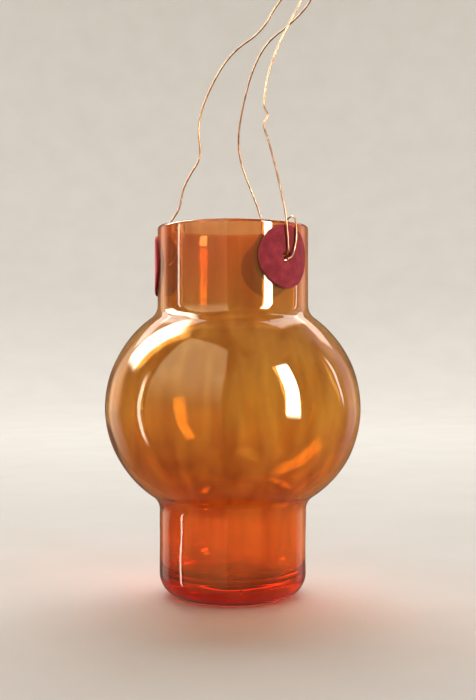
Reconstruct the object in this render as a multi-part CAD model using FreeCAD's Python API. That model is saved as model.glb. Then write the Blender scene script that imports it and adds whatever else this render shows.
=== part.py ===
"""Hanging glass lantern on three copper wires, in millimetres.

The lantern stands upright on its foot: +Z runs up the axis of the glass, the origin is the centre of
the foot's underside and -Y is the front. Azimuths are degrees from the front towards +X.
"""
import FreeCAD, Part
import math
import os

os.makedirs("parts", exist_ok=True)

# --- glass ---------------------------------------------------------------------------------------
NECK_OUTER_R = 24.2
GLOBE_OUTER_R = 40.9
CUP_OUTER_R = 23.5
TOTAL_H = 118.3
NECK_L = 25.33
UPPER_ARC_R = 35.5
LOWER_ARC_R = 34.0
SHOULDER_FILLET_R = 5.0
WAIST_FILLET_R = 5.5
FOOT_CORNER_R = 7.4
WALL = 2.0
FLOOR_T = 6.8
CUP_INNER_CORNER_R = 4.5

# --- wires ---------------------------------------------------------------------------------------
WIRE_D = 0.6
WIRE_HOLE_D = 3.6
WIRE_CLEARANCE = 0.15
ARC_SHARE = 0.45

# --- felt washers --------------------------------------------------------------------------------
FELT_D = 19.6
FELT_T = 0.9
FELT_HOLE_D = 3.2
FELT_GAP = 0.05

# --- hanging eye: the three wires laid up together ------------------------------------------------
LAY_GAP = 0.02
STEM_L = 10.0
EYE_MEAN_R = 4.4
EYE_LAY_EXTRA = 0.1
EYE_LEAN = 17.7
TWIST_REACH = 28.7
TWIST_RISE = 89.7

# --- where each wire is laced, and how far its hole sits below the rim ------------------------------
FRONT_AZ, FRONT_DROP = 42.0, 11.0
LEFT_AZ, LEFT_DROP = -97.0, 12.5
BACK_AZ, BACK_DROP = 145.5, 11.8

# Derived sizes
SHOULDER_REACH = NECK_OUTER_R + SHOULDER_FILLET_R - (GLOBE_OUTER_R - UPPER_ARC_R)
SHOULDER_RISE = math.sqrt((UPPER_ARC_R + SHOULDER_FILLET_R) ** 2 - SHOULDER_REACH ** 2)
GLOBE_MID_H = TOTAL_H - NECK_L - SHOULDER_RISE
FRONT_HOLE_H = TOTAL_H - FRONT_DROP
LEFT_HOLE_H = TOTAL_H - LEFT_DROP
BACK_HOLE_H = TOTAL_H - BACK_DROP
TWIST_FOOT = FreeCAD.Vector(TWIST_REACH, 0.0, TOTAL_H + TWIST_RISE)
NECK_INNER_R = NECK_OUTER_R - WALL
OUTER_FELT_R = NECK_OUTER_R + FELT_GAP
INNER_FELT_R = NECK_INNER_R - FELT_GAP - FELT_T
WIRE_OUT_R = OUTER_FELT_R + FELT_T + WIRE_CLEARANCE + WIRE_D / 2
WIRE_IN_R = INNER_FELT_R - WIRE_CLEARANCE - WIRE_D / 2
LAY_R = (WIRE_D + LAY_GAP) / math.sqrt(3)
CABLE_D = 2 * LAY_R + WIRE_D
OVER_RIM_H = TOTAL_H + 1.6


def at(radius, azimuth, height):
    """Point at a radius, an azimuth from the front and a height."""
    turn = math.radians(azimuth)
    return FreeCAD.Vector(radius * math.sin(turn), -radius * math.cos(turn), height)


def above_rim(x, y, rise):
    """Point at a rise above the rim."""
    return FreeCAD.Vector(x, y, TOTAL_H + rise)


def on_circle(centre, radius, angle):
    """Point of the XZ half plane on a circle, angle in radians from +X."""
    return FreeCAD.Vector(centre.x + radius * math.cos(angle), 0, centre.z + radius * math.sin(angle))


def blend_centre(arc_centre, arc_r, side_r, fillet_r, upward):
    """Centre of the fillet between an arc of the globe and the straight side above or below it."""
    dx = side_r + fillet_r - arc_centre.x
    rise = math.sqrt((arc_r + fillet_r) ** 2 - dx ** 2)
    return FreeCAD.Vector(side_r + fillet_r, 0, arc_centre.z + (rise if upward else -rise))


def side_profile(inset):
    """Edges of one wall surface from the neck down to the foot cup, moved in by the wall.

    Returns the edges, the lowest point of the straight neck and the top of the straight cup.
    """
    neck_r = NECK_OUTER_R - inset
    cup_r = CUP_OUTER_R - inset
    upper_c = FreeCAD.Vector(GLOBE_OUTER_R - UPPER_ARC_R, 0, GLOBE_MID_H)
    lower_c = FreeCAD.Vector(GLOBE_OUTER_R - LOWER_ARC_R, 0, GLOBE_MID_H)
    upper_r = UPPER_ARC_R - inset
    lower_r = LOWER_ARC_R - inset
    shoulder_r = SHOULDER_FILLET_R + inset
    waist_r = WAIST_FILLET_R + inset
    shoulder_c = blend_centre(upper_c, upper_r, neck_r, shoulder_r, True)
    waist_c = blend_centre(lower_c, lower_r, cup_r, waist_r, False)
    up = math.atan2(shoulder_c.z - upper_c.z, shoulder_c.x - upper_c.x)
    down = math.atan2(waist_c.z - lower_c.z, waist_c.x - lower_c.x)
    neck_end = FreeCAD.Vector(neck_r, 0, shoulder_c.z)
    cup_end = FreeCAD.Vector(cup_r, 0, waist_c.z)
    on_shoulder = on_circle(upper_c, upper_r, up)
    on_waist = on_circle(lower_c, lower_r, down)
    equator = FreeCAD.Vector(GLOBE_OUTER_R - inset, 0, GLOBE_MID_H)
    shoulder_mid = on_circle(shoulder_c, shoulder_r, (math.pi + up + math.pi) / 2)
    waist_mid = on_circle(waist_c, waist_r, (math.pi + down + math.pi) / 2)
    edges = [
        Part.Arc(neck_end, shoulder_mid, on_shoulder).toShape(),
        Part.Arc(on_shoulder, on_circle(upper_c, upper_r, up / 2), equator).toShape(),
        Part.Arc(equator, on_circle(lower_c, lower_r, down / 2), on_waist).toShape(),
        Part.Arc(on_waist, waist_mid, cup_end).toShape(),
    ]
    return edges, neck_end, cup_end


def line(a, b):
    """Straight edge between two points."""
    return Part.LineSegment(a, b).toShape()


def glass_solid():
    """Blown vessel of one wall, thick at the foot, with a fire-rounded rim."""
    outside, neck_out, cup_out = side_profile(0.0)
    inside, neck_in, cup_in = side_profile(WALL)
    lip_h = TOTAL_H - WALL / 2
    lip_out = FreeCAD.Vector(NECK_OUTER_R, 0, lip_h)
    lip_in = FreeCAD.Vector(NECK_INNER_R, 0, lip_h)
    lip_top = FreeCAD.Vector(NECK_OUTER_R - WALL / 2, 0, TOTAL_H)
    half = math.sqrt(0.5)
    foot_c = FreeCAD.Vector(CUP_OUTER_R - FOOT_CORNER_R, 0, FOOT_CORNER_R)
    foot_side = FreeCAD.Vector(CUP_OUTER_R, 0, FOOT_CORNER_R)
    foot_mid = FreeCAD.Vector(foot_c.x + FOOT_CORNER_R * half, 0, foot_c.z - FOOT_CORNER_R * half)
    foot_flat = FreeCAD.Vector(foot_c.x, 0, 0)
    well_r = CUP_OUTER_R - WALL
    well_c = FreeCAD.Vector(well_r - CUP_INNER_CORNER_R, 0, FLOOR_T + CUP_INNER_CORNER_R)
    well_side = FreeCAD.Vector(well_r, 0, well_c.z)
    well_mid = FreeCAD.Vector(well_c.x + CUP_INNER_CORNER_R * half, 0, well_c.z - CUP_INNER_CORNER_R * half)
    well_flat = FreeCAD.Vector(well_c.x, 0, FLOOR_T)
    floor_axis = FreeCAD.Vector(0, 0, FLOOR_T)
    foot_axis = FreeCAD.Vector(0, 0, 0)
    edges = [
        Part.Arc(lip_in, lip_top, lip_out).toShape(),
        line(lip_out, neck_out),
        *outside,
        line(cup_out, foot_side),
        Part.Arc(foot_side, foot_mid, foot_flat).toShape(),
        line(foot_flat, foot_axis),
        line(foot_axis, floor_axis),
        line(floor_axis, well_flat),
        Part.Arc(well_flat, well_mid, well_side).toShape(),
        line(well_side, cup_in),
        *inside,
        line(neck_in, lip_in),
    ]
    profile = Part.Wire(Part.__sortEdges__(edges))
    vessel = Part.Face(profile).revolve(FreeCAD.Vector(0, 0, 0), FreeCAD.Vector(0, 0, 1), 360)
    for azimuth, height in ((FRONT_AZ, FRONT_HOLE_H), (LEFT_AZ, LEFT_HOLE_H), (BACK_AZ, BACK_HOLE_H)):
        vessel = vessel.cut(radial_rod(azimuth, height, WIRE_HOLE_D))
    return vessel


def radial_rod(azimuth, height, diameter):
    """Round rod that points outwards through the neck at one azimuth."""
    start = at(NECK_INNER_R / 2, azimuth, height)
    outwards = at(1, azimuth, 0)
    return Part.makeCylinder(diameter / 2, NECK_OUTER_R, start, outwards)


def felt_washer(azimuth, height, inner_r):
    """Round felt washer wrapped on a cylinder of the given inner radius."""
    base = FreeCAD.Vector(0, 0, height - FELT_D)
    shell = Part.makeCylinder(inner_r + FELT_T, 2 * FELT_D, base)
    shell = shell.cut(Part.makeCylinder(inner_r, 2 * FELT_D, base))
    disc = shell.common(radial_rod(azimuth, height, FELT_D))
    return disc.cut(radial_rod(azimuth, height, FELT_HOLE_D))


def lacing(azimuth, hole_h, inside_turn, loop_turn):
    """Points of a wire from outside its hole, through it, up inside and over the rim.

    inside_turn and loop_turn are azimuth steps of the strand inside and of the loop outside.
    """
    rise = OVER_RIM_H - hole_h
    return [
        at(WIRE_OUT_R, azimuth, hole_h),
        at(WIRE_IN_R, azimuth, hole_h),
        at(WIRE_IN_R - 0.3, azimuth + 0.6 * inside_turn, hole_h + 0.45 * rise),
        at(WIRE_IN_R, azimuth + inside_turn, OVER_RIM_H),
        at(WIRE_OUT_R, azimuth + loop_turn, OVER_RIM_H),
    ]


def front_wire_points():
    """Front wire: cut end hooked under the hole, loop over the rim, then up to the twist."""
    az = FRONT_AZ
    hole = FRONT_HOLE_H
    hook = [
        at(WIRE_OUT_R + 0.4, az - 2.5, hole - 1.0),
        at(WIRE_OUT_R + 0.7, az + 1.5, hole - 0.6),
        at(WIRE_OUT_R + 0.1, az + 5.5, hole + 2.2),
        at(WIRE_OUT_R + 0.1, az + 8.0, hole + 6.6),
    ]
    laced = lacing(az, hole, 12.0, 6.5)
    above = [
        at(WIRE_OUT_R + 0.1, az - 1.2, hole + 5.4),
        above_rim(16.3, -20.3, 0.7),
        above_rim(14.9, -18.6, 8.3),
        above_rim(12.7, -16.2, 18.7),
        above_rim(10.4, -14.2, 27.1),
        above_rim(9.2, -13.7, 30.3),
        above_rim(11.4, -13.1, 32.9),
        above_rim(9.5, -12.3, 35.9),
        above_rim(10.1, -11.4, 40.2),
        above_rim(10.7, -10.1, 45.5),
        above_rim(13.9, -7.8, 55.5),
        above_rim(18.1, -5.8, 64.3),
        above_rim(22.3, -4.1, 72.5),
    ]
    return hook + laced[::-1] + above


def left_wire_points():
    """Left wire: hooked over the rim, then up and over with two kinks."""
    laced = lacing(LEFT_AZ, LEFT_HOLE_H, -33.0, -29.0)
    hook = [at(WIRE_OUT_R, LEFT_AZ - 30.0, TOTAL_H - 3.5)]
    above = [
        at(WIRE_OUT_R + 0.2, LEFT_AZ - 6.0, LEFT_HOLE_H + 5.2),
        at(WIRE_OUT_R + 0.2, LEFT_AZ - 16.5, LEFT_HOLE_H + 11.4),
        above_rim(-20.9, 12.3, 3.0),
        above_rim(-17.6, 11.5, 7.7),
        above_rim(-17.0, 10.8, 13.0),
        above_rim(-14.3, 10.0, 18.5),
        above_rim(-10.3, 9.1, 24.3),
        above_rim(-12.0, 7.7, 35.6),
        above_rim(-6.6, 5.8, 48.3),
        above_rim(-0.3, 4.5, 57.8),
        above_rim(9.6, 3.6, 64.1),
        above_rim(15.0, 2.2, 74.0),
    ]
    return hook + laced[::-1] + above


def back_wire_points():
    """Back wire: hooked over the rim, then up in one long bow."""
    laced = lacing(BACK_AZ, BACK_HOLE_H, -2.0, -7.0)
    hook = [at(WIRE_OUT_R, BACK_AZ - 8.0, TOTAL_H - 3.5)]
    above = [
        at(WIRE_OUT_R + 0.2, BACK_AZ + 4.8, BACK_HOLE_H + 5.4),
        at(WIRE_OUT_R + 0.1, BACK_AZ + 10.2, TOTAL_H - 0.2),
        above_rim(9.4, 22.3, 6.9),
        above_rim(5.8, 20.0, 15.7),
        above_rim(2.6, 17.8, 23.5),
        above_rim(1.5, 15.7, 31.5),
        above_rim(3.3, 12.8, 42.4),
        above_rim(6.6, 9.6, 53.9),
        above_rim(11.4, 7.4, 62.1),
        above_rim(19.0, 6.0, 67.3),
        above_rim(26.5, 3.7, 74.9),
    ]
    return hook + laced[::-1] + above


def twist_end(offset_angle):
    """Last two points of a wire: beside the others below the stem, in its direction."""
    lean = math.radians(EYE_LEAN)
    along = FreeCAD.Vector(math.sin(lean), 0, math.cos(lean))
    across = FreeCAD.Vector(math.cos(lean), 0, -math.sin(lean))
    turn = math.radians(offset_angle)
    beside = across * (LAY_R * math.cos(turn)) + FreeCAD.Vector(0, LAY_R * math.sin(turn), 0)
    end = TWIST_FOOT + beside - along * WIRE_CLEARANCE
    return [end - along * 5.5 + beside * 1.5, end]


def bent_tube(name, points, diameter):
    """Tube along straight runs joined by tangent arcs, its radii printed."""
    edges = []
    start = points[0]
    radii = []
    for before, corner, after in zip(points, points[1:], points[2:]):
        a = before - corner
        b = after - corner
        half_turn = (math.pi - a.getAngle(b)) / 2
        cut = ARC_SHARE * min(a.Length, b.Length)
        radius = cut / math.tan(half_turn)
        radii.append(radius)
        inwards = (a.normalize() + b.normalize()).normalize()
        p1 = corner + a * cut
        p2 = corner + b * cut
        mid = corner + inwards * (radius / math.cos(half_turn) - radius)
        edges.append(line(start, p1))
        edges.append(Part.Arc(p1, mid, p2).toShape())
        start = p2
    edges.append(line(start, points[-1]))
    path = Part.Wire(edges)
    direction = points[1] - points[0]
    section = Part.Wire(Part.makeCircle(diameter / 2, points[0], direction))
    tube = path.makePipeShell([section], True, False)
    ratio = tube.Volume / (math.pi * diameter ** 2 / 4 * path.Length)
    print(f"{name}: length {path.Length:.1f}, volume over section times length {ratio:.3f}")
    print(f"  bend radii {[round(r, 1) for r in radii]}")
    return tube


def eye_solid():
    """Stem of the three laid-up wires and the round eye it ends in."""
    lean = math.radians(EYE_LEAN)
    along = FreeCAD.Vector(math.sin(lean), 0, math.cos(lean))
    stem = Part.makeCylinder(CABLE_D / 2, STEM_L, TWIST_FOOT, along)
    centre = TWIST_FOOT + along * (STEM_L + EYE_MEAN_R)
    ring = Part.makeTorus(EYE_MEAN_R, (CABLE_D + EYE_LAY_EXTRA) / 2, centre, FreeCAD.Vector(0, 1, 0))
    return stem.fuse(ring)


def save(name, shape):
    """Write one node and print what came out."""
    if len(shape.Solids) != 1 or not shape.isValid():
        raise RuntimeError(f"{name}: {len(shape.Solids)} solids, valid {shape.isValid()}")
    solid = shape.Solids[0]
    solid.exportStep(f"parts/{name}.step")
    box = solid.BoundBox
    print(f"{name}: volume {solid.Volume:.1f}, z {box.ZMin:.2f} to {box.ZMax:.2f}")
    kept = Part.read(f"parts/{name}.step")
    if len(kept.Solids) != 1 or not kept.isValid():
        raise RuntimeError(f"{name}: the written file does not read back as one valid solid")


save("glass_vessel", glass_solid())
HOLES = {"front": (FRONT_AZ, FRONT_HOLE_H), "left": (LEFT_AZ, LEFT_HOLE_H), "back": (BACK_AZ, BACK_HOLE_H)}
for side, (azimuth, height) in HOLES.items():
    save(f"outer_felt_washer_{side}", felt_washer(azimuth, height, OUTER_FELT_R))
    save(f"inner_felt_washer_{side}", felt_washer(azimuth, height, INNER_FELT_R))

ROUTES = {
    "front": front_wire_points() + twist_end(-60),
    "left": left_wire_points() + twist_end(180),
    "back": back_wire_points() + twist_end(60),
}
for side, points in ROUTES.items():
    save(f"hanging_wire_{side}", bent_tube(f"hanging_wire_{side}", points, WIRE_D))
save("hanging_eye", eye_solid())
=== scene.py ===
"""A blown amber glass lantern, standing on its foot with its three copper hanging wires bent to the right.

Everything is in the lantern's own frame: +Z up the axis of the glass, -Y the front, the origin under the
foot. Sizes in the classes are millimetres and become metres where meshes are made.
"""
from __future__ import annotations

import logging
import math
import random
from dataclasses import dataclass, field
from enum import Enum
from typing import Iterable, Mapping, Optional, Sequence

import bmesh
import bpy
from mathutils import Matrix, Vector, noise

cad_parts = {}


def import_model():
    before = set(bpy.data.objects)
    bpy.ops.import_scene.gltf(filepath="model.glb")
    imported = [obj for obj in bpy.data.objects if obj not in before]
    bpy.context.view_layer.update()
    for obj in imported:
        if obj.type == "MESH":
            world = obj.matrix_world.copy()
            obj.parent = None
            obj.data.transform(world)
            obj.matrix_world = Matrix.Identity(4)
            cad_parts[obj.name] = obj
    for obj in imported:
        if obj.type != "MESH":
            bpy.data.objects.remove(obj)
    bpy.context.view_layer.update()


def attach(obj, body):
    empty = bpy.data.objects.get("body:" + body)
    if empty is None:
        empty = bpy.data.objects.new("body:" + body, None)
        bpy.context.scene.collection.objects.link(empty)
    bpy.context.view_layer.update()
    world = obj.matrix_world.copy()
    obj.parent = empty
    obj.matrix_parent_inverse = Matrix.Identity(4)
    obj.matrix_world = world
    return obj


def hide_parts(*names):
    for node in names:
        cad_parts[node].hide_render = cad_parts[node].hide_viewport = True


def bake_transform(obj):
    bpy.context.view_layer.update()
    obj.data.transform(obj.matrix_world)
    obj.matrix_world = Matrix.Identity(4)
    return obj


MM = 0.001
LOG = logging.getLogger("lantern")

# A point of an outline, as radius and height in mm.
Flat = tuple[float, float]
# Vertices in mm, and faces as lists of vertex numbers.
Mesh = tuple[list[Vector], list[list[int]]]


class Body(Enum):
    """The two rigid bodies of the lantern."""

    LANTERN = "lantern"
    HANGER = "hanger"


class Side(Enum):
    """Where a wire and its two washers sit on the neck."""

    FRONT = "front"
    LEFT = "left"
    BACK = "back"


class Face(Enum):
    """The side of the neck glass that a washer lies on."""

    OUTER = "outer"
    INNER = "inner"


class Lit(Enum):
    """What a panel lights: a lamp that is flagged off the rest leaves it dark."""

    EVERYTHING = "everything"
    LANTERN = "lantern_pieces"
    FELT = "felt_pieces"


@dataclass(frozen=True)
class HolePlace:
    """A drilled wire hole: its azimuth from the front towards +X in degrees, and its height in mm."""

    azimuth: float
    height: float


HOLES: dict[Side, HolePlace] = {
    Side.FRONT: HolePlace(42.0, 107.3),
    Side.LEFT: HolePlace(-97.0, 105.8),
    Side.BACK: HolePlace(145.5, 106.5),
}


def at(radius: float, azimuth: float, height: float) -> Vector:
    """A point of the lantern, in mm.

    Args:
        radius: Distance from the axis.
        azimuth: Degrees from the front towards +X.
        height: Height above the foot.

    Returns:
        The point as x, y and z.
    """
    turn = math.radians(azimuth)
    return Vector((radius * math.sin(turn), -radius * math.cos(turn), height))


def smoothstep(low: float, high: float, value: float) -> float:
    """A smooth rise from 0 at low to 1 at high."""
    t = min(1.0, max(0.0, (value - low) / (high - low)))
    return t * t * (3.0 - 2.0 * t)


def linear(hex_colour: str, alpha: float = 1.0) -> tuple[float, float, float, float]:
    """Turn an sRGB hex colour into the linear colour that shaders take.

    Args:
        hex_colour: Six hex digits, such as "C0703A".
        alpha: The fourth channel.

    Returns:
        Linear red, green, blue and alpha.
    """
    channels = []
    for start in (0, 2, 4):
        value = int(hex_colour[start:start + 2], 16) / 255.0
        channels.append(value / 12.92 if value <= 0.04045 else ((value + 0.055) / 1.055) ** 2.4)
    return (channels[0], channels[1], channels[2], alpha)


def add_node(
    tree: bpy.types.NodeTree,
    kind: str,
    settings: Optional[Mapping[str, object]] = None,
    sockets: Optional[Mapping[str, object]] = None,
) -> bpy.types.Node:
    """Add a shader node, with its settings and its links.

    Args:
        tree: The node tree that takes the node.
        kind: The node's type, after the word ShaderNode that each type begins with.
        settings: Attributes of the node and their values.
        sockets: Input names with a value, or with the output socket to link from.

    Returns:
        The new node.
    """
    node = tree.nodes.new(f"ShaderNode{kind}")
    for name, value in (settings or {}).items():
        setattr(node, name, value)
    for name, value in (sockets or {}).items():
        socket = node.inputs[int(name)] if name.isdigit() else node.inputs[name]
        if isinstance(value, bpy.types.NodeSocket):
            tree.links.new(value, socket)
        else:
            socket.default_value = value
    return node


def colour_steps(node: bpy.types.Node, steps: Sequence[tuple[float, str]]) -> None:
    """Set the stops of a colour ramp.

    Args:
        node: The ramp node.
        steps: Positions from 0 to 1 with their sRGB hex colours.
    """
    ramp = node.color_ramp
    while len(ramp.elements) < len(steps):
        ramp.elements.new(0.5)
    for element, (place, hex_colour) in zip(ramp.elements, steps):
        element.position = place
        element.color = linear(hex_colour)


def pattern_scale(size_mm: float) -> float:
    """The scale that gives a pattern's patches a real size, in mm."""
    return 1 / (size_mm * MM)


def new_material(name: str) -> tuple[bpy.types.Material, bpy.types.NodeTree, bpy.types.Node]:
    """Make an empty node material.

    Args:
        name: The material's name.

    Returns:
        The material, its node tree and its output node.
    """
    material = bpy.data.materials.new(name)
    material.use_nodes = True
    tree = material.node_tree
    tree.nodes.clear()
    return material, tree, add_node(tree, "OutputMaterial")


@dataclass(frozen=True)
class BlownAmberGlass:
    """Blown soda-lime glass that runs from amber at the neck, through gold, to ruby in the thick foot.

    The tint deepens wherever the light runs further through the glass, so the foot turns red and the
    edges go brown, while the thin globe stays golden. Fire-polished, so its highlights are hard.
    """

    foot: str = "984836"
    cup: str = "F0994B"
    waist: str = "D29648"
    globe: str = "D4B258"
    shoulder: str = "CEAA60"
    neck: str = "D4945A"
    absorbed: str = "FFA868"
    density: float = 100.0
    height: float = 118.3
    # The darkest colour of the painted dark reflection bands.
    reflection_band_colour: str = "E6CFB8"
    streak_mm: float = 14.0
    streak_breadth: float = 0.3
    # Size and breadth of the painted dark reflection bands.
    reflection_band_mm: float = 6.5
    reflection_band_breadth: float = 0.16
    ripple_mm: float = 9.0

    def make(self) -> bpy.types.Material:
        """Build the material.

        Returns:
            The glass.
        """
        material, tree, output = new_material("blown_amber_glass")
        coords = add_node(tree, "TexCoord").outputs["Object"]
        parts = add_node(tree, "SeparateXYZ", sockets={"Vector": coords})
        # Drawn-out streaks of the gather, whose breadth is a share of their height.
        fine = pattern_scale(self.streak_mm)
        drawn = add_node(
            tree, "Mapping", sockets={"Vector": coords, "Scale": (fine, fine, fine * self.streak_breadth)}
        )
        streaks = add_node(
            tree,
            "TexNoise",
            sockets={"Vector": drawn.outputs["Vector"], "Scale": 1.0, "Detail": 3.0, "Roughness": 0.5},
        )
        height = add_node(
            tree,
            "MapRange",
            sockets={"Value": parts.outputs["Z"], "From Max": self.height * MM, "To Max": 0.94},
        )
        shift = add_node(
            tree,
            "Math",
            {"operation": "MULTIPLY_ADD"},
            {"0": streaks.outputs["Fac"], "1": 0.10, "2": height.outputs["Result"]},
        )
        body = add_node(tree, "ValToRGB", sockets={"Fac": shift.outputs["Value"]})
        colour_steps(
            body,
            [
                (0.05, self.foot),
                (0.20, self.cup),
                (0.33, self.waist),
                (0.52, self.globe),
                (0.76, self.shoulder),
                (0.92, self.neck),
            ],
        )
        # Painted dark reflection: narrow upright bands of noise that darken the glass's colour, standing in
        # for dark streaks mirrored in the neck.
        fine = pattern_scale(self.reflection_band_mm)
        drawn = add_node(
            tree, "Mapping", sockets={"Vector": coords, "Scale": (fine, fine, fine * self.reflection_band_breadth)}
        )
        reflection_band_noise = add_node(
            tree,
            "TexNoise",
            sockets={"Vector": drawn.outputs["Vector"], "Scale": 1.0, "Detail": 2.0, "Distortion": 0.4},
        )
        reflection_bands = add_node(tree, "ValToRGB", sockets={"Fac": reflection_band_noise.outputs["Fac"]})
        colour_steps(reflection_bands, [(0.36, self.reflection_band_colour), (0.60, "FFFFFF")])
        tint = add_node(
            tree,
            "MixRGB",
            {"blend_type": "MULTIPLY"},
            {"Fac": 1.0, "Color1": body.outputs["Color"], "Color2": reflection_bands.outputs["Color"]},
        )
        ripple = add_node(
            tree,
            "TexNoise",
            sockets={"Vector": coords, "Scale": pattern_scale(self.ripple_mm), "Detail": 1.0},
        )
        bump = add_node(
            tree,
            "Bump",
            sockets={"Height": ripple.outputs["Fac"], "Strength": 0.10, "Distance": 0.5 * MM},
        )
        glass = add_node(
            tree,
            "BsdfPrincipled",
            sockets={
                "Base Color": tint.outputs["Color"],
                "Roughness": 0.015,
                "IOR": 1.52,
                "Transmission Weight": 0.93,
                "Normal": bump.outputs["Normal"],
            },
        )
        absorb = add_node(
            tree, "VolumeAbsorption", sockets={"Color": linear(self.absorbed), "Density": self.density}
        )
        # Light reaches the felt and the paper through the glass and takes its colour on the way.
        thinned = add_node(tree, "Gamma", sockets={"Color": tint.outputs["Color"], "Gamma": 0.42})
        faded = add_node(tree, "MixRGB", sockets={"Fac": 0.42, "Color1": thinned.outputs["Color"]})
        faded.inputs["Color2"].default_value = (0.0, 0.0, 0.0, 1.0)
        through = add_node(tree, "BsdfTransparent", sockets={"Color": faded.outputs["Color"]})
        path = add_node(tree, "LightPath")
        lit = add_node(
            tree,
            "MixShader",
            sockets={
                "0": path.outputs["Is Shadow Ray"],
                "1": glass.outputs["BSDF"],
                "2": through.outputs["BSDF"],
            },
        )
        tree.links.new(lit.outputs["Shader"], output.inputs["Surface"])
        tree.links.new(absorb.outputs["Volume"], output.inputs["Volume"])
        return material


@dataclass(frozen=True)
class PressedWoolFelt:
    """Crimson wool felt, die cut. Matted fibres give it a soft dull face with paler fuzz at its edges."""

    dark: str = "4A0D1B"
    body: str = "54111E"
    pale: str = "641B28"
    fibre_mm: float = 0.35
    clump_mm: float = 2.4

    def make(self) -> bpy.types.Material:
        """Build the material.

        Returns:
            The felt.
        """
        material, tree, output = new_material("pressed_wool_felt")
        coords = add_node(tree, "TexCoord").outputs["Object"]
        clumps = add_node(
            tree,
            "TexNoise",
            sockets={
                "Vector": coords,
                "Scale": pattern_scale(self.clump_mm),
                "Detail": 4.0,
                "Roughness": 0.6,
            },
        )
        # Real fibres are 0.02 mm thick; they are drawn more than ten times coarser so that they show.
        fibres = add_node(
            tree,
            "TexNoise",
            sockets={
                "Vector": coords,
                "Scale": pattern_scale(self.fibre_mm),
                "Detail": 3.0,
                "Roughness": 0.7,
                "Distortion": 1.6,
            },
        )
        blend = add_node(
            tree,
            "Math",
            {"operation": "MULTIPLY_ADD"},
            {"0": fibres.outputs["Fac"], "1": 0.5, "2": clumps.outputs["Fac"]},
        )
        colours = add_node(tree, "ValToRGB", sockets={"Fac": blend.outputs["Value"]})
        colour_steps(colours, [(0.50, self.dark), (0.75, self.body), (1.0, self.pale)])
        bump = add_node(
            tree,
            "Bump",
            sockets={"Height": fibres.outputs["Fac"], "Strength": 0.6, "Distance": 0.12 * MM},
        )
        felt = add_node(
            tree,
            "BsdfPrincipled",
            sockets={
                "Base Color": colours.outputs["Color"],
                "Roughness": 0.95,
                "Specular IOR Level": 0.2,
                "Sheen Weight": 0.35,
                "Sheen Roughness": 0.35,
                "Sheen Tint": linear("F09AA0"),
                "Normal": bump.outputs["Normal"],
            },
        )
        tree.links.new(felt.outputs["BSDF"], output.inputs["Surface"])
        return material


@dataclass(frozen=True)
class AnnealedCopperWire:
    """Soft bare copper craft wire. Faint draw lines and patches of handling dull it to a pale rose."""

    bright: str = "AE8C78"
    worn: str = "967462"
    tarnish: str = "70503C"
    patch_mm: float = 3.0
    draw_line_mm: float = 0.12

    def make(self) -> bpy.types.Material:
        """Build the material.

        Returns:
            The wire's metal.
        """
        material, tree, output = new_material("annealed_copper_wire")
        coords = add_node(tree, "TexCoord").outputs["Object"]
        patches = add_node(
            tree,
            "TexNoise",
            sockets={
                "Vector": coords,
                "Scale": pattern_scale(self.patch_mm),
                "Detail": 3.0,
                "Roughness": 0.6,
            },
        )
        colours = add_node(tree, "ValToRGB", sockets={"Fac": patches.outputs["Fac"]})
        colour_steps(colours, [(0.30, self.tarnish), (0.48, self.worn), (0.62, self.bright)])
        rough = add_node(
            tree,
            "MapRange",
            sockets={
                "Value": patches.outputs["Fac"],
                "From Min": 0.3,
                "From Max": 0.7,
                "To Min": 0.42,
                "To Max": 0.24,
            },
        )
        lines = add_node(
            tree,
            "TexNoise",
            sockets={"Vector": coords, "Scale": pattern_scale(self.draw_line_mm), "Detail": 1.0},
        )
        bump = add_node(
            tree,
            "Bump",
            sockets={"Height": lines.outputs["Fac"], "Strength": 0.15, "Distance": 0.01 * MM},
        )
        metal = add_node(
            tree,
            "BsdfPrincipled",
            sockets={
                "Base Color": colours.outputs["Color"],
                "Metallic": 1.0,
                "Roughness": rough.outputs["Result"],
                "Normal": bump.outputs["Normal"],
            },
        )
        tree.links.new(metal.outputs["BSDF"], output.inputs["Surface"])
        return material


@dataclass(frozen=True)
class MattCovePaper:
    """Pale matt paper, laid as a cove round the lantern, with the faint mottle of its pulp."""

    pale: str = "E6E2DC"
    shade: str = "E2DED7"
    mottle_mm: float = 40.0

    def make(self) -> bpy.types.Material:
        """Build the material.

        Returns:
            The paper.
        """
        material, tree, output = new_material("matt_cove_paper")
        coords = add_node(tree, "TexCoord").outputs["Object"]
        mottle = add_node(
            tree,
            "TexNoise",
            sockets={"Vector": coords, "Scale": pattern_scale(self.mottle_mm), "Detail": 2.0},
        )
        colours = add_node(tree, "ValToRGB", sockets={"Fac": mottle.outputs["Fac"]})
        colour_steps(colours, [(0.3, self.shade), (0.7, self.pale)])
        paper = add_node(
            tree,
            "BsdfPrincipled",
            sockets={"Base Color": colours.outputs["Color"], "Roughness": 0.85, "Specular IOR Level": 0.2},
        )
        tree.links.new(paper.outputs["BSDF"], output.inputs["Surface"])
        return material


def mesh_object(
    name: str,
    points: Sequence[Sequence[float]],
    faces: Sequence[Sequence[int]],
    material: bpy.types.Material,
) -> bpy.types.Object:
    """Make a smooth-shaded object from points in mm.

    Args:
        name: The object's name.
        points: Its vertices, in mm.
        faces: Its faces, as vertex numbers.
        material: Its finish.

    Returns:
        The object, linked to the scene.
    """
    mesh = bpy.data.meshes.new(name)
    mesh.from_pydata([tuple(c * MM for c in p) for p in points], [], [tuple(f) for f in faces])
    mesh.polygons.foreach_set("use_smooth", [True] * len(mesh.polygons))
    mesh.materials.append(material)
    mesh.update()
    obj = bpy.data.objects.new(name, mesh)
    bpy.context.scene.collection.objects.link(obj)
    return obj


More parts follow.
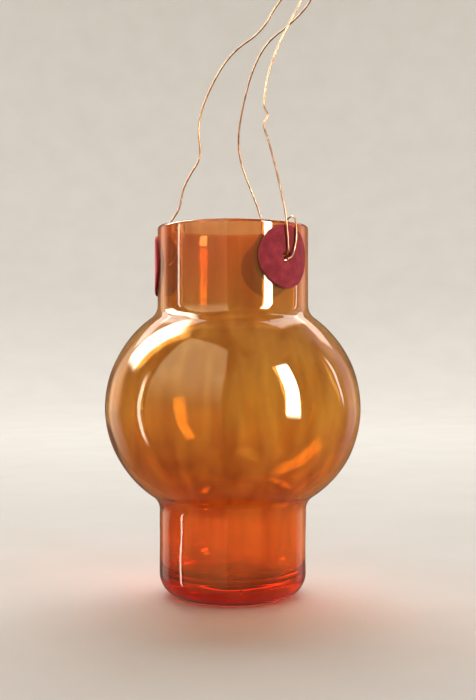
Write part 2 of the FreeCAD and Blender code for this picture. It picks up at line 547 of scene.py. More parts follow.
def spline_points(name: str, route: Sequence[Vector], steps: int) -> list[Vector]:
    """Read the smooth line that a route's points control.

    Args:
        name: A name for the passing curve.
        route: The control points, in mm.
        steps: How many points each span gives.

    Returns:
        The points of the line, in mm.
    """
    curve = bpy.data.curves.new(f"{name}_line", "CURVE")
    curve.dimensions = "3D"
    curve.resolution_u = steps
    spline = curve.splines.new("NURBS")
    spline.points.add(len(route) - 1)
    for point, place in zip(spline.points, route):
        point.co = (place.x * MM, place.y * MM, place.z * MM, 1.0)
    spline.order_u = 3
    spline.use_endpoint_u = True
    passing = bpy.data.objects.new(f"{name}_line", curve)
    bpy.context.scene.collection.objects.link(passing)
    bpy.context.view_layer.update()
    mesh = bpy.data.meshes.new_from_object(passing)
    points = [vertex.co / MM for vertex in mesh.vertices]
    bpy.data.objects.remove(passing)
    bpy.data.curves.remove(curve)
    bpy.data.meshes.remove(mesh)
    return points


def line_length(points: Sequence[Vector]) -> float:
    """The length of a line of points, in their own unit."""
    return sum((b - a).length for a, b in zip(points, points[1:]))


def carried_frames(points: Sequence[Vector]) -> list[tuple[Vector, Vector]]:
    """Cross directions carried along a line without twist.

    Args:
        points: The line.

    Returns:
        Two unit vectors across the line at each point.
    """
    tangents = []
    for index in range(len(points)):
        before = points[max(0, index - 1)]
        after = points[min(len(points) - 1, index + 1)]
        tangents.append((after - before).normalized())
    first = tangents[0].orthogonal().normalized()
    frames = [(first, tangents[0].cross(first))]
    for before, now in zip(tangents, tangents[1:]):
        across = before.rotation_difference(now) @ frames[-1][0]
        across = (across - now * across.dot(now)).normalized()
        frames.append((across, now.cross(across)))
    return frames


def tube_mesh(points: Sequence[Vector], radius: float, around: int = 14) -> Mesh:
    """A round closed tube with snipped, slightly rounded ends.

    Args:
        points: Its centre line, in mm.
        radius: Its radius, in mm.
        around: How many vertices go round it.

    Returns:
        Its vertices and faces.
    """
    frames = carried_frames(points)
    first = (points[0] - points[1]).normalized()
    last = (points[-1] - points[-2]).normalized()
    rings = [(points[0] + first * 0.18 * radius, frames[0], 0.72 * radius)]
    rings += [(point, frame, radius) for point, frame in zip(points, frames)]
    rings.append((points[-1] + last * 0.18 * radius, frames[-1], 0.72 * radius))
    vertices: list[Vector] = []
    faces: list[list[int]] = []
    for centre, (across, up), size in rings:
        for step in range(around):
            turn = 2 * math.pi * step / around
            vertices.append(centre + across * (size * math.cos(turn)) + up * (size * math.sin(turn)))
    for ring in range(len(rings) - 1):
        for step in range(around):
            nxt = (step + 1) % around
            low = ring * around
            faces.append([low + step, low + nxt, low + around + nxt, low + around + step])
    faces.append(list(range(around))[::-1])
    top = (len(rings) - 1) * around
    faces.append([top + step for step in range(around)])
    return vertices, faces


def settle(obj: bpy.types.Object, body: Body, nodes: Iterable[str]) -> bpy.types.Object:
    """Hide the solids that a piece stands for and put it on the body that it rides on.

    Args:
        obj: The piece.
        body: The body that carries it.
        nodes: The solids that it replaces.

    Returns:
        The same piece.
    """
    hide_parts(*nodes)
    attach(obj, body.value)
    LOG.info("%s: %d faces, on %s", obj.name, len(obj.data.polygons), body.value)
    return obj


@dataclass
class GlassVessel:
    """The blown vessel: straight neck, round globe and thick-footed cup, with three drilled holes."""

    neck_r: float = 24.2
    globe_r: float = 40.9
    cup_r: float = 23.5
    total_h: float = 118.3
    globe_mid_h: float = 60.2
    upper_arc_r: float = 35.5
    lower_arc_r: float = 34.0
    shoulder_fillet_r: float = 5.0
    waist_fillet_r: float = 5.5
    foot_corner_r: float = 7.4
    wall: float = 2.0
    floor_t: float = 6.8
    well_corner_r: float = 4.5
    hole_d: float = 3.6
    punty_r: float = 8.5
    punty_depth: float = 0.5
    drifts: Sequence[tuple[float, float]] = ((1.0, 0.26), (2.7, 0.11), (6.0, 0.02))
    segments: int = 256
    seed_bubbles: int = 26
    bubble_seed: int = 41

    def arc(self, centre: Flat, radius: float, start: float, end: float, count: int) -> list[Flat]:
        """Points of a circle's arc.

        Args:
            centre: Its centre as radius and height.
            radius: Its radius.
            start: The angle it starts at, in radians.
            end: The angle it ends at.
            count: How many spans it has.

        Returns:
            Points as radius and height, both ends included.
        """
        return [
            (
                centre[0] + radius * math.cos(start + (end - start) * step / count),
                centre[1] + radius * math.sin(start + (end - start) * step / count),
            )
            for step in range(count + 1)
        ]

    def straight(self, start: Flat, end: Flat, count: int) -> list[Flat]:
        """Points of a straight run.

        Args:
            start: The point before the first of them.
            end: The point after the last of them.
            count: How many spans the run has.

        Returns:
            Points as radius and height, neither end included.
        """
        return [
            (start[0] + (end[0] - start[0]) * step / count, start[1] + (end[1] - start[1]) * step / count)
            for step in range(1, count)
        ]

    def side(self, inset: float) -> list[Flat]:
        """The wall's line from the straight neck down to the straight cup.

        Args:
            inset: How far it lies inside the outer surface.

        Returns:
            Points as radius and height, from the top down.
        """
        upper = (self.globe_r - self.upper_arc_r, self.globe_mid_h)
        lower = (self.globe_r - self.lower_arc_r, self.globe_mid_h)
        upper_r = self.upper_arc_r - inset
        lower_r = self.lower_arc_r - inset
        shoulder_r = self.shoulder_fillet_r + inset
        waist_r = self.waist_fillet_r + inset
        shoulder_x = self.neck_r - inset + shoulder_r
        waist_x = self.cup_r - inset + waist_r
        shoulder_rise = math.sqrt((upper_r + shoulder_r) ** 2 - (shoulder_x - upper[0]) ** 2)
        waist_drop = math.sqrt((lower_r + waist_r) ** 2 - (waist_x - lower[0]) ** 2)
        shoulder = (shoulder_x, upper[1] + shoulder_rise)
        waist = (waist_x, lower[1] - waist_drop)
        up = math.atan2(shoulder[1] - upper[1], shoulder[0] - upper[0])
        down = math.atan2(waist[1] - lower[1], waist[0] - lower[0])
        line = self.arc(shoulder, shoulder_r, math.pi, math.pi + up, 12)
        line += self.arc(upper, upper_r, up, 0.0, 34)[1:]
        line += self.arc(lower, lower_r, 0.0, down, 34)[1:]
        line += self.arc(waist, waist_r, math.pi + down, math.pi, 12)[1:]
        return line

    def profile(self) -> list[Flat]:
        """The outline of the glass.

        Returns:
            Points as radius and height, from the middle of the inner floor round to under the foot.
        """
        outside = self.side(0.0)
        inside = self.side(self.wall)
        lip = (self.neck_r - self.wall / 2, self.total_h - self.wall / 2)
        well_r = self.cup_r - self.wall
        well = (well_r - self.well_corner_r, self.floor_t + self.well_corner_r)
        foot = (self.cup_r - self.foot_corner_r, self.foot_corner_r)
        line = [(radius, self.floor_t) for radius in (4.0, 8.0, 12.0)]
        line += self.arc(well, self.well_corner_r, -math.pi / 2, 0.0, 10)
        line += self.straight(line[-1], inside[-1], 10)
        line += inside[::-1]
        line += self.straight(line[-1], (self.neck_r - self.wall, lip[1]), 12)
        line += self.arc(lip, self.wall / 2, math.pi, 0.0, 12)
        line += self.straight(line[-1], outside[0], 12)
        line += outside
        line += self.straight(line[-1], (self.cup_r, foot[1]), 10)
        line += self.arc(foot, self.foot_corner_r, 0.0, -math.pi / 2, 12)
        line += self.straight(line[-1], (self.punty_r, 0.0), 4)
        steps = 6
        for step in range(steps):
            share = 1.0 - step / steps
            line.append((self.punty_r * share, self.punty_depth * smoothstep(1.0, 0.35, share)))
        return line

    def drift(self, azimuth: float, radius: float, height: float, inner: bool) -> float:
        """How far the blown wall wanders from true, in mm.

        Args:
            azimuth: Angle round the axis, in radians.
            radius: Radius of the true surface.
            height: Height above the foot.
            inner: Whether it is the inside surface.

        Returns:
            The change of radius. It dies out at the neck, where the washers lie, and at the foot.
        """
        share = smoothstep(92.0, 78.0, height) * smoothstep(1.0, 16.0, height)
        apart = 7.3 if inner else 0.0
        place = Vector((math.sin(azimuth) * 1.1, math.cos(azimuth) * 1.1, height / 26.0 + apart))
        wander = sum(size * noise.noise(place * pace) for pace, size in self.drifts)
        return share * min(1.0, radius / 20.0) * wander

    def bubble(self, centre: Vector, size: float, tall: float, start: int) -> Mesh:
        """A small closed bubble in the wall, with its faces turned inwards.

        Args:
            centre: Its middle, in mm.
            size: Its radius across, in mm.
            tall: How many times taller it is than wide.
            start: The number of its first vertex.

        Returns:
            Its vertices and faces.
        """
        ball = bmesh.new()
        bmesh.ops.create_icosphere(ball, subdivisions=2, radius=size)
        points = [centre + Vector((v.co.x, v.co.y, v.co.z * tall)) for v in ball.verts]
        faces = [[start + v.index for v in reversed(f.verts)] for f in ball.faces]
        ball.free()
        return points, faces

    def bubbles(self, start: int) -> Mesh:
        """Seed bubbles through the middle of the wall and in the thick foot.

        Args:
            start: The number of their first vertex.

        Returns:
            Their vertices and faces.
        """
        chance = random.Random(self.bubble_seed)
        wall_line = self.side(self.wall / 2)
        points: list[Vector] = []
        faces: list[list[int]] = []
        for index in range(self.seed_bubbles):
            azimuth = chance.uniform(0.0, 360.0)
            if index % 4 == 0:
                centre = at(chance.uniform(3.0, 12.0), azimuth, chance.uniform(2.4, 4.6))
                size = chance.uniform(0.12, 0.24)
            else:
                radius, height = wall_line[chance.randrange(10, len(wall_line) - 8)]
                centre = at(radius, azimuth, height)
                size = chance.uniform(0.18, 0.38)
            more, sides = self.bubble(centre, size, chance.uniform(1.0, 1.5), start + len(points))
            points += more
            faces += sides
        return points, faces

    def drill(self, vessel: bpy.types.Object) -> None:
        """Cut the wire holes through the neck.

        Args:
            vessel: The glass, changed in place.
        """
        for side, hole in HOLES.items():
            middle = at(self.neck_r, hole.azimuth, hole.height)
            outwards = at(1.0, hole.azimuth, 0.0).to_track_quat("Z", "Y").to_matrix().to_4x4()
            mesh = bpy.data.meshes.new(f"drill_{side.value}")
            rod = bmesh.new()
            bmesh.ops.create_cone(
                rod,
                cap_ends=True,
                segments=40,
                radius1=self.hole_d / 2 * MM,
                radius2=self.hole_d / 2 * MM,
                depth=8.0 * MM,
                matrix=Matrix.Translation(middle * MM) @ outwards,
            )
            rod.to_mesh(mesh)
            rod.free()
            cutter = bpy.data.objects.new(mesh.name, mesh)
            bpy.context.scene.collection.objects.link(cutter)
            cut = vessel.modifiers.new(mesh.name, "BOOLEAN")
            cut.operation = "DIFFERENCE"
            cut.solver = "EXACT"
            cut.object = cutter
            bpy.context.view_layer.update()
            graph = bpy.context.evaluated_depsgraph_get()
            drilled = bpy.data.meshes.new_from_object(vessel.evaluated_get(graph))
            vessel.modifiers.remove(cut)
            vessel.data = drilled
            bpy.data.objects.remove(cutter)
        vessel.data.polygons.foreach_set("use_smooth", [True] * len(vessel.data.polygons))
        vessel.data.set_sharp_from_angle(angle=math.radians(50))

    def build(self, finish: bpy.types.Material) -> bpy.types.Object:
        """Blow, seed and drill the vessel.

        Args:
            finish: The glass.

        Returns:
            The vessel.
        """
        outline = self.profile()
        lip_at = max(range(len(outline)), key=lambda index: outline[index][1])
        points: list[Vector] = [Vector((0.0, 0.0, self.floor_t))]
        for index, (radius, height) in enumerate(outline):
            for step in range(self.segments):
                turn = 2 * math.pi * step / self.segments
                far = radius + self.drift(turn, radius, height, index < lip_at)
                points.append(Vector((far * math.sin(turn), -far * math.cos(turn), height)))
        points.append(Vector((0.0, 0.0, self.punty_depth)))
        faces: list[list[int]] = []
        for step in range(self.segments):
            nxt = (step + 1) % self.segments
            faces.append([0, 1 + step, 1 + nxt])
            for ring in range(len(outline) - 1):
                low = 1 + ring * self.segments
                high = low + self.segments
                faces.append([low + step, high + step, high + nxt, low + nxt])
            low = 1 + (len(outline) - 1) * self.segments
            faces.append([low + step, len(points) - 1, low + nxt])
        more, sides = self.bubbles(len(points))
        vessel = mesh_object("glass_vessel_blown", points + more, faces + sides, finish)
        self.drill(vessel)
        return settle(vessel, Body.LANTERN, ["glass_vessel"])


@dataclass
class FeltWasher:
    """A die-cut felt washer wrapped on the neck glass, pressed in round its hole by the wire."""

    side: Side
    face: Face
    diameter: float = 19.6
    hole_d: float = 3.2
    thickness: float = 0.9
    gap: float = 0.05
    neck_outer_r: float = 24.2
    wall: float = 2.0
    edge_round: float = 0.28
    press: float = 0.22
    ragged: float = 0.10
    uneven: float = 0.09
    around: int = 168
    hairs: int = 420

    @property
    def glass_side_r(self) -> float:
        """Radius of the washer's face that lies against the glass.

        Returns:
            The radius, in mm.
        """
        if self.face is Face.OUTER:
            return self.neck_outer_r + self.gap
        return self.neck_outer_r - self.wall - self.gap

    @property
    def away(self) -> float:
        """+1 where the felt stands outwards from the glass, -1 inside the neck."""
        return 1.0 if self.face is Face.OUTER else -1.0

    def place(self, across: float, up: float, depth: float) -> Vector:
        """A point of the felt.

        Args:
            across: Distance sideways from the hole's axis, in mm.
            up: Distance above the hole's axis.
            depth: Distance from the glass-side face.

        Returns:
            The point in the lantern's frame, in mm.
        """
        hole = HOLES[self.side]
        radius = self.glass_side_r + self.away * depth
        lean = math.degrees(math.asin(max(-1.0, min(1.0, across / radius))))
        return at(radius, hole.azimuth + lean, hole.height + up)

    def section(self) -> list[tuple[float, float, bool]]:
        """The washer's closed cross-section.

        Returns:
            For each point its distance out from the hole's axis, its depth, and whether it faces away.
        """
        inner = self.hole_d / 2
        outer = self.diameter / 2
        soft = self.edge_round
        top = self.thickness
        line: list[tuple[float, float, bool]] = []
        for step in range(5):
            turn = math.pi / 2 * step / 4
            line.append((inner + soft - soft * math.cos(turn), top - soft + soft * math.sin(turn), True))
        for step in range(1, 16):
            line.append((inner + soft + (outer - inner - 2 * soft) * step / 16, top, True))
        for step in range(5):
            turn = math.pi / 2 * (1 - step / 4)
            line.append((outer - soft + soft * math.cos(turn), top - soft + soft * math.sin(turn), True))
        line.append((outer, soft * 0.6, False))
        line.append((outer - soft * 0.5, 0.0, False))
        for step in range(1, 8):
            line.append((outer - soft - (outer - inner - 2 * soft) * step / 8, 0.0, False))
        line.append((inner + soft * 0.5, 0.0, False))
        line.append((inner, soft * 0.6, False))
        return line

    def fluff(self, across: float, up: float) -> float:
        """Unevenness of the felted face at a place, from 0 to 1."""
        spot = Vector((across * 1.3 + 11.0 * self.away, up * 1.3, HOLES[self.side].azimuth))
        return 0.5 + 0.5 * noise.noise(spot)

    def hair_mesh(self, start: int) -> Mesh:
        """Loose fibres that stand off the outer face and the cut edge.

        Args:
            start: The number of their first vertex.

        Returns:
            Their vertices and faces.
        """
        chance = random.Random(f"{self.side.value}-{self.face.value}")
        rim_r = self.diameter / 2
        points: list[Vector] = []
        faces: list[list[int]] = []
        for _ in range(self.hairs):
            turn = chance.uniform(0.0, 2 * math.pi)
            on_edge = chance.random() < 0.45
            out = rim_r - 0.06 if on_edge else math.sqrt(chance.uniform(0.06, 0.97)) * rim_r
            depth = chance.uniform(0.3, 0.8) if on_edge else self.thickness - 0.05
            heading = turn + chance.uniform(-0.9, 0.9) if on_edge else chance.uniform(0.0, 2 * math.pi)
            reach = chance.uniform(0.25, 0.7)
            lift = chance.uniform(-0.05, 0.10) if on_edge else chance.uniform(0.06, 0.16)
            thick = chance.uniform(0.012, 0.022)
            curl = chance.uniform(-1.2, 1.2)
            across, up = out * math.cos(turn), out * math.sin(turn)
            base = start + len(points)
            for knot in range(4):
                share = knot / 3
                for corner in range(3):
                    spin = 2 * math.pi * corner / 3
                    size = thick * (1.0 - 0.6 * share)
                    points.append(
                        self.place(
                            across + size * math.cos(spin),
                            up + size * math.sin(spin),
                            min(self.thickness + 0.10, depth + lift * math.sin(math.pi * 0.6 * share)),
                        )
                    )
                across += reach / 3 * math.cos(heading + curl * share)
                up += reach / 3 * math.sin(heading + curl * share)
            for knot in range(3):
                for corner in range(3):
                    low = base + knot * 3
                    nxt = (corner + 1) % 3
                    faces.append([low + corner, low + nxt, low + 3 + nxt, low + 3 + corner])
            faces.append([base + 2, base + 1, base])
            faces.append([base + 9, base + 10, base + 11])
        return points, faces

    def build(self, finish: bpy.types.Material) -> bpy.types.Object:
        """Cut and wrap the washer.

        Args:
            finish: The felt.

        Returns:
            The washer.
        """
        line = self.section()
        points: list[Vector] = []
        for out, depth, shows in line:
            for step in range(self.around):
                turn = 2 * math.pi * step / self.around
                edge = self.fluff(9.0 * math.cos(turn), 9.0 * math.sin(turn))
                far = out - self.ragged * edge * smoothstep(8.0, 9.8, out)
                across, up = far * math.cos(turn), far * math.sin(turn)
                sunk = 0.0
                if shows:
                    sunk = self.uneven * self.fluff(across, up) + self.press * smoothstep(4.2, 1.6, out)
                points.append(self.place(across, up, max(0.04, depth - sunk) if depth > 0.5 else depth))
        faces: list[list[int]] = []
        for ring in range(len(line)):
            low = ring * self.around
            high = (ring + 1) % len(line) * self.around
            for step in range(self.around):
                nxt = (step + 1) % self.around
                quad = [low + step, low + nxt, high + nxt, high + step]
                faces.append(quad if self.face is Face.INNER else quad[::-1])
        more, sides = self.hair_mesh(len(points))
        name = f"{self.face.value}_felt_washer_{self.side.value}"
        washer = mesh_object(f"{name}_felt", points + more, faces + sides, finish)
        tidy = bmesh.new()
        tidy.from_mesh(washer.data)
        bmesh.ops.recalc_face_normals(tidy, faces=tidy.faces)
        tidy.to_mesh(washer.data)
        tidy.free()
        return settle(washer, Body.LANTERN, [name])


@dataclass
class TwistedEye:
    """The three wires laid up together into a stem and bent round into a hanging eye."""

    wire_d: float = 0.6
    lay_gap: float = 0.02
    stem_l: float = 10.0
    mean_r: float = 4.4
    lean: float = 17.7
    foot: Vector = field(default_factory=lambda: Vector((28.7, 0.0, 208.0)))
    lay_mm: float = 5.4
    clearance: float = 0.15
    eye_from: float = -62.0
    eye_sweep: float = 320.0
    eye_steps: int = 13
    binding_from: float = 6.6
    binding_turns: float = 2.6
    binding_pitch: float = 0.66

    @property
    def lay_r(self) -> float:
        """Distance of each wire from the middle of the lay."""
        return (self.wire_d + self.lay_gap) / math.sqrt(3)

    @property
    def along(self) -> Vector:
        """The stem's direction."""
        turn = math.radians(self.lean)
        return Vector((math.sin(turn), 0.0, math.cos(turn)))

    @property
    def across(self) -> Vector:
        """Sideways from the stem, in the plane of the eye."""
        turn = math.radians(self.lean)
        return Vector((math.cos(turn), 0.0, -math.sin(turn)))

    def beside(self, angle: float) -> Vector:
        """Where one wire lies beside the middle of the lay.

        Args:
            angle: Its place round the lay, in degrees.

        Returns:
            The offset, in mm.
        """
        turn = math.radians(angle)
        return self.across * (self.lay_r * math.cos(turn)) + Vector((0.0, self.lay_r * math.sin(turn), 0.0))

    def wire_end(self, angle: float) -> list[Vector]:
        """The last two route points of a wire that ends in the lay.

        Args:
            angle: Its place round the lay, in degrees.

        Returns:
            The two points, in mm.
        """
        beside = self.beside(angle)
        end = self.foot + beside - self.along * self.clearance
        return [end - self.along * 5.5 + beside * 1.5, end]

    def middle_line(self) -> list[Vector]:
        """The route of the eye's middle.

        Returns:
            Points up the stem, once round the eye and back down beside the stem's top, in mm.
        """
        cable_r = self.lay_r + self.wire_d / 2
        centre = self.foot + self.along * (self.stem_l + self.mean_r - cable_r / 2)
        bottom = self.foot - self.along * 0.1
        route = [bottom] + [self.foot + self.along * rise for rise in (3.0, 6.2, 8.6)]
        out = self.mean_r / math.cos(math.pi / self.eye_steps) ** 0.5
        for step in range(self.eye_steps):
            turn = math.radians(self.eye_from + self.eye_sweep * step / (self.eye_steps - 1))
            route.append(centre + self.across * (out * math.cos(turn)) + self.along * (out * math.sin(turn)))
        return route

    def strands(self) -> list[list[Vector]]:
        """Lay the three wires round the eye's middle line.

        Returns:
            Their centre lines through the stem and the eye, in mm.
        """
        middle = spline_points("hanging_eye", self.middle_line(), 14)
        frames = carried_frames(middle)
        lines: list[list[Vector]] = []
        for start in (-60.0, 180.0, 60.0):
            beside = self.beside(start)
            begin = math.atan2(beside.dot(frames[0][1]), beside.dot(frames[0][0]))
            gone = 0.0
            line = []
            for index, point in enumerate(middle):
                if index:
                    gone += (point - middle[index - 1]).length
                turn = begin + 2 * math.pi * gone / self.lay_mm
                across, up = frames[index]
                spot = point + across * (self.lay_r * math.cos(turn))
                line.append(spot + up * (self.lay_r * math.sin(turn)))
            lines.append(line)
        return lines

    def binding(self) -> list[Vector]:
        """Wind one wire's end close round the neck of the eye.

        Returns:
            Its centre line, in mm.
        """
        turns = self.binding_turns
        radius = self.lay_r + self.wire_d + 0.04
        start = self.foot + self.along * self.binding_from
        steps = 72
        line = []
        for step in range(steps + 1):
            turn = 2 * math.pi * turns * step / steps
            rise = self.along * (self.binding_pitch * turns * step / steps)
            round_it = self.across * (radius * math.cos(turn)) + Vector((0.0, radius * math.sin(turn), 0.0))
            line.append(start + rise + round_it)
        return line

    def build(self, finish: bpy.types.Material) -> bpy.types.Object:
        """Lay up the eye.

        Args:
            finish: The wire's metal.

        Returns:
            The eye.
        """
        points: list[Vector] = []
        faces: list[list[int]] = []
        for line in self.strands() + [self.binding()]:
            more, sides = tube_mesh(line, self.wire_d / 2, 12)
            faces += [[len(points) + corner for corner in face] for face in sides]
            points += more
        eye = mesh_object("hanging_eye_twisted", points, faces, finish)
        return settle(eye, Body.HANGER, ["hanging_eye"])


@dataclass
class Lacing:
    """How a wire goes through its hole, up inside the neck and over the rim."""

    hole: HolePlace
    inside_turn: float
    loop_turn: float
    wire_out_r: float = 25.6
    wire_in_r: float = 20.8
    over_rim_h: float = 119.9

    def points(self) -> list[Vector]:
        """The route through the neck.

        Returns:
            Points from outside the hole to the loop over the rim, in mm.
        """
        rise = self.over_rim_h - self.hole.height
        azimuth = self.hole.azimuth
        return [
            at(self.wire_out_r, azimuth, self.hole.height),
            at(self.wire_in_r, azimuth, self.hole.height),
            at(self.wire_in_r - 0.3, azimuth + 0.6 * self.inside_turn, self.hole.height + 0.45 * rise),
            at(self.wire_in_r, azimuth + self.inside_turn, self.over_rim_h),
            at(self.wire_out_r, azimuth + self.loop_turn, self.over_rim_h),
        ]


@dataclass
class HangingWire:
    """One bare copper wire from its cut end at the neck up to the twist."""

    side: Side
    eye: TwistedEye
    wire_d: float = 0.6
    out_r: float = 25.6
    rim_h: float = 118.3

    def hook(self) -> list[Vector]:
        """The route of the cut end.

        Returns:
            Points up to the loop over the rim, in mm.
        """
        hole = HOLES[self.side]
        if self.side is Side.FRONT:
            return [
                at(self.out_r + 0.4, hole.azimuth - 2.5, hole.height - 1.0),
                at(self.out_r + 0.7, hole.azimuth + 1.5, hole.height - 0.6),
                at(self.out_r + 0.1, hole.azimuth + 5.5, hole.height + 2.2),
                at(self.out_r + 0.1, hole.azimuth + 8.0, hole.height + 6.6),
            ]
        step = -30.0 if self.side is Side.LEFT else -8.0
        return [at(self.out_r, hole.azimuth + step, self.rim_h - 3.5)]

    def lacing(self) -> Lacing:
        """The wire's way through the neck.

        Returns:
            The lacing, with the turns of its strand inside and of its loop outside.
        """
        turns = {Side.FRONT: (12.0, 6.5), Side.LEFT: (-33.0, -29.0), Side.BACK: (-2.0, -7.0)}
        inside, loop = turns[self.side]
        return Lacing(HOLES[self.side], inside, loop)

    def rising(self) -> list[Vector]:
        """The route outside the neck and up through the air.

        Returns:
            Points from beside the hole to just below the twist, in mm.
        """
        hole = HOLES[self.side]
        if self.side is Side.FRONT:
            free = [
                (16.3, -20.3, 119.0),
                (14.9, -18.6, 126.6),
                (12.7, -16.2, 137.0),
                (10.4, -14.2, 145.4),
                (9.2, -13.7, 148.6),
                (11.4, -13.1, 151.2),
                (9.5, -12.3, 154.2),
                (10.1, -11.4, 158.5),
                (10.7, -10.1, 163.8),
                (13.9, -7.8, 173.8),
                (18.1, -5.8, 182.6),
                (22.3, -4.1, 190.8),
            ]
            start = [at(self.out_r + 0.1, hole.azimuth - 1.2, hole.height + 5.4)]
        elif self.side is Side.LEFT:
            free = [
                (-20.9, 12.3, 121.3),
                (-17.6, 11.5, 126.0),
                (-17.0, 10.8, 131.3),
                (-14.3, 10.0, 136.8),
                (-10.3, 9.1, 142.6),
                (-12.0, 7.7, 153.9),
                (-6.6, 5.8, 166.6),
                (-0.3, 4.5, 176.1),
                (9.6, 3.6, 182.4),
                (15.0, 2.2, 192.3),
            ]
            start = [
                at(self.out_r + 0.2, hole.azimuth - 6.0, hole.height + 5.2),
                at(self.out_r + 0.2, hole.azimuth - 16.5, hole.height + 11.4),
            ]
        else:
            free = [
                (9.4, 22.3, 125.2),
                (5.8, 20.0, 134.0),
                (2.6, 17.8, 141.8),
                (1.5, 15.7, 149.8),
                (3.3, 12.8, 160.7),
                (6.6, 9.6, 172.2),
                (11.4, 7.4, 180.4),
                (19.0, 6.0, 185.6),
                (26.5, 3.7, 193.2),
            ]
            start = [
                at(self.out_r + 0.2, hole.azimuth + 4.8, hole.height + 5.4),
                at(self.out_r + 0.1, hole.azimuth + 10.2, self.rim_h - 0.2),
            ]
        return start + [Vector(point) for point in free]

    def build(self, finish: bpy.types.Material, eye_piece: bpy.types.Object) -> bpy.types.Object:
        """Args:
            finish: The wire's metal.
            eye_piece: The eye at its far end; not used.

        Returns:
            The wire.
        """
        angle = {Side.FRONT: -60.0, Side.LEFT: 180.0, Side.BACK: 60.0}[self.side]
        route = self.hook() + self.lacing().points()[::-1] + self.rising() + self.eye.wire_end(angle)
        name = f"hanging_wire_{self.side.value}"
        line = spline_points(name, route, 10)
        points, faces = tube_mesh(line, self.wire_d / 2)
        wire = mesh_object(f"{name}_drawn", points, faces, finish)
        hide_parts(name)
        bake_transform(wire)
        LOG.info("%s: %.1f mm of wire, %d faces", wire.name, line_length(line), len(wire.data.polygons))
        return wire


@dataclass
class Lamp:
    """A soft panel that lights the lantern and shows in its glass.

    It stands `near` metres off at an azimuth and fills the elevations from `low` to `high`, in degrees.
    Its glow is its own brightness, its tones run from its foot to its top and `soft` is the share of it
    over which its edges fade.
    """

    name: str
    azimuth: float
    near: float
    width: float
    low: float
    high: float
    glow: float
    tones: Sequence[tuple[float, str]] = ((0.0, "FFFFFF"),)
    soft: float = 0.05
    upright: bool = True
    lights: Lit = Lit.LANTERN

    def shade(self, light: bpy.types.Light) -> None:
        """Give the panel its tones and its fading edges.

        Args:
            light: The panel's light.
        """
        light.use_nodes = True
        tree = light.node_tree
        place = add_node(tree, "NewGeometry").outputs["Parametric"]
        parts = add_node(tree, "SeparateXYZ", sockets={"Vector": place})
        fades = []
        for axis in ("X", "Y"):
            across = parts.outputs[axis]
            off = add_node(tree, "Math", {"operation": "SUBTRACT"}, {"0": across, "1": 0.5})
            far = add_node(tree, "Math", {"operation": "ABSOLUTE"}, {"0": off.outputs["Value"]})
            fade = add_node(
                tree,
                "MapRange",
                {"interpolation_type": "SMOOTHSTEP"},
                {"Value": far.outputs["Value"], "From Min": 0.5, "From Max": 0.5 - self.soft},
            )
            fades.append(fade.outputs["Result"])
        both = add_node(tree, "Math", {"operation": "MULTIPLY"}, {"0": fades[0], "1": fades[1]})
        tones = add_node(tree, "ValToRGB", sockets={"Fac": parts.outputs["Y"]})
        steps = list(self.tones)
        if len(steps) == 1:
            steps.append((1.0, steps[0][1]))
        colour_steps(tones, steps)
        glow = tree.nodes["Emission"]
        tree.links.new(tones.outputs["Color"], glow.inputs["Color"])
        tree.links.new(both.outputs["Value"], glow.inputs["Strength"])

    def hang(self, target: Vector, groups: dict[Lit, bpy.types.Collection]) -> bpy.types.Object:
        """Hang the panel so that it faces the lantern.

        Args:
            target: The point that its elevations are seen from, in metres.
            groups: The pieces that a flagged panel lights.

        Returns:
            The light.
        """
        low, high = math.radians(self.low), math.radians(self.high)
        level = at(1.0, self.azimuth, 0.0)
        if self.upright:
            tall = self.near * (math.tan(high) - math.tan(low))
            middle = level * self.near + Vector((0.0, 0.0, self.near * math.tan(low) + tall / 2))
        else:
            rise = (low + high) / 2
            tall = 2 * self.near / math.cos(rise) * math.tan((high - low) / 2)
            middle = level * self.near + Vector((0.0, 0.0, self.near * math.tan(rise)))
            level = middle.normalized()
        light = bpy.data.lights.new(self.name, "AREA")
        light.shape = "RECTANGLE"
        light.size = self.width
        light.size_y = tall
        light.energy = self.glow * math.pi * self.width * tall
        self.shade(light)
        lamp = bpy.data.objects.new(self.name, light)
        lamp.location = target + middle
        lamp.rotation_euler = level.to_track_quat("Z", "Y").to_euler()
        bpy.context.scene.collection.objects.link(lamp)
        if self.lights in groups:
            lamp.light_linking.receiver_collection = groups[self.lights]
        return lamp


# The tall window's own shades, from the dim ground outside it up to the open sky.
WINDOW_TONES = ((0.16, "70502C"), (0.27, "E88440"), (0.36, "A88658"), (0.50, "FFF6C0"))


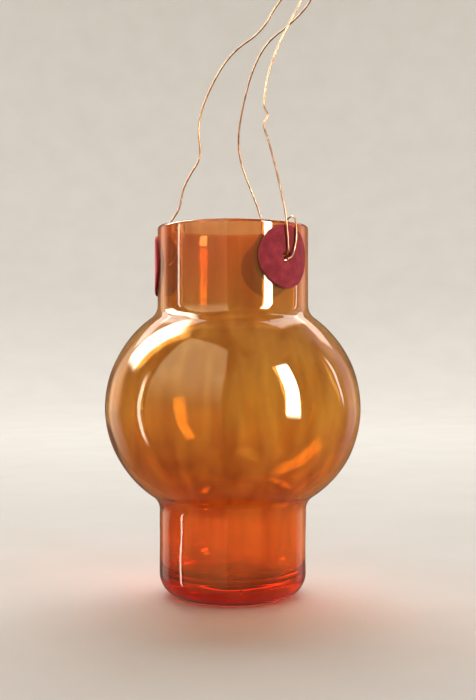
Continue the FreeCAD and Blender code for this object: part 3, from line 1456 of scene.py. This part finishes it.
@dataclass
class Studio:
    """The paper cove, the soft light and the camera."""

    lens_mm: float = 53.57
    camera_at: tuple[float, float, float] = (1.65, -336.0, 78.65)
    target: tuple[float, float, float] = (0.0, 0.0, 0.07)
    cove_r: float = 1.5
    bend_r: float = 0.7
    cove_top: float = 2.4
    world: str = "B4A898"
    world_strength: float = 0.35

    def lamps(self) -> list[Lamp]:
        """The panels, named for what each does.

        Returns:
            The panels, to be hung in this order.
        """
        return [
            Lamp("left_window", -45.0, 0.80, 1.25, -50.0, 68.0, 2.8, WINDOW_TONES),
            Lamp("right_slit", 54.0, 0.85, 0.23, -10.0, 42.0, 46.0, ((0.0, "FFF2C0"), (1.0, "FFFCF0")), 0.10),
            Lamp("left_slit", -88.0, 0.90, 0.08, -31.0, 28.0, 12.0, ((0.0, "FFF0DC"),), 0.25),
            Lamp("far_right_slit", 111.0, 0.90, 0.06, -2.0, 30.0, 7.0, ((0.0, "F4F0FF"),), 0.25),
            Lamp("high_left_window", -118.0, 0.80, 0.46, 19.0, 64.0, 26.0, ((0.0, "FFF6D8"),), 0.20, False),
            Lamp("left_rim", -130.0, 0.90, 0.50, -30.0, 50.0, 1.2, ((0.0, "FFF2DC"),), 0.30),
            Lamp("right_rim", 130.0, 0.90, 0.50, -30.0, 50.0, 0.6, ((0.0, "F0E8FF"),), 0.30),
            Lamp("ceiling", 180.0, 0.85, 1.80, 39.0, 77.0, 3.05, upright=False, lights=Lit.EVERYTHING),
            Lamp("back_wash", 180.0, 0.80, 1.80, 31.0, 45.0, 2.4, upright=False, lights=Lit.EVERYTHING),
            Lamp("felt_light", -80.0, 0.85, 0.50, -5.0, 35.0, 52.0, ((0.0, "FFF2E8"),), 0.30, True, Lit.FELT),
        ]

    def cove(self) -> bpy.types.Object:
        """Lay the paper: a round floor that curves up into a wall on every side.

        Returns:
            The paper.
        """
        line = [(self.cove_r - self.bend_r, 0.0)]
        for step in range(1, 25):
            turn = math.pi / 2 * step / 24
            out = line[0][0] + self.bend_r * math.sin(turn)
            line.append((out, self.bend_r - self.bend_r * math.cos(turn)))
        line.append((self.cove_r, self.cove_top))
        points = [Vector((0.0, 0.0, 0.0))]
        faces = []
        around = 128
        for radius, height in line:
            points += [at(radius / MM, 360.0 * step / around, height / MM) for step in range(around)]
        for step in range(around):
            nxt = (step + 1) % around
            faces.append([0, 1 + step, 1 + nxt])
            for ring in range(len(line) - 1):
                low = 1 + ring * around
                faces.append([low + step, low + around + step, low + around + nxt, low + nxt])
        paper = mesh_object("paper_cove", points, faces, MattCovePaper().make())
        # The glass mirrors the room round the paper, which keeps its depth of colour, and not the paper.
        paper.visible_glossy = False
        return paper

    def set_up(self, pieces: Iterable[bpy.types.Object]) -> None:
        """Lay the paper, hang the lights and place the camera.

        Args:
            pieces: The lantern's own pieces.
        """
        self.cove()
        groups = {lit: bpy.data.collections.new(lit.value) for lit in (Lit.LANTERN, Lit.FELT)}
        for piece in pieces:
            groups[Lit.LANTERN].objects.link(piece)
            if "felt_washer" in piece.name:
                groups[Lit.FELT].objects.link(piece)
        for lamp in self.lamps():
            lamp.hang(Vector(self.target), groups)
        world = bpy.data.worlds.new("soft_room")
        bpy.context.scene.world = world
        world.use_nodes = True
        room = world.node_tree.nodes["Background"]
        room.inputs["Color"].default_value = linear(self.world)
        room.inputs["Strength"].default_value = self.world_strength
        camera = bpy.data.cameras.new("camera")
        camera.lens = self.lens_mm
        camera.clip_start = 0.01
        holder = bpy.data.objects.new("camera", camera)
        holder.location = Vector(self.camera_at) * MM
        holder.rotation_euler = (math.pi / 2, 0.0, 0.0)
        bpy.context.scene.collection.objects.link(holder)
        bpy.context.scene.camera = holder
        bpy.context.scene.view_settings.view_transform = "Standard"
        LOG.info("studio is up")


def main() -> None:
    """Load the frame and build the lantern, piece by piece."""
    logging.basicConfig(level=logging.INFO, format="%(name)s: %(message)s")
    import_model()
    glass = BlownAmberGlass().make()
    felt = PressedWoolFelt().make()
    copper = AnnealedCopperWire().make()
    eye = TwistedEye()
    eye_piece = eye.build(copper)
    pieces = [GlassVessel().build(glass), eye_piece]
    for side in Side:
        pieces += [FeltWasher(side, face).build(felt) for face in Face]
        pieces.append(HangingWire(side, eye).build(copper, eye_piece))
    Studio().set_up(pieces)


if __name__ == "__main__":
    main()
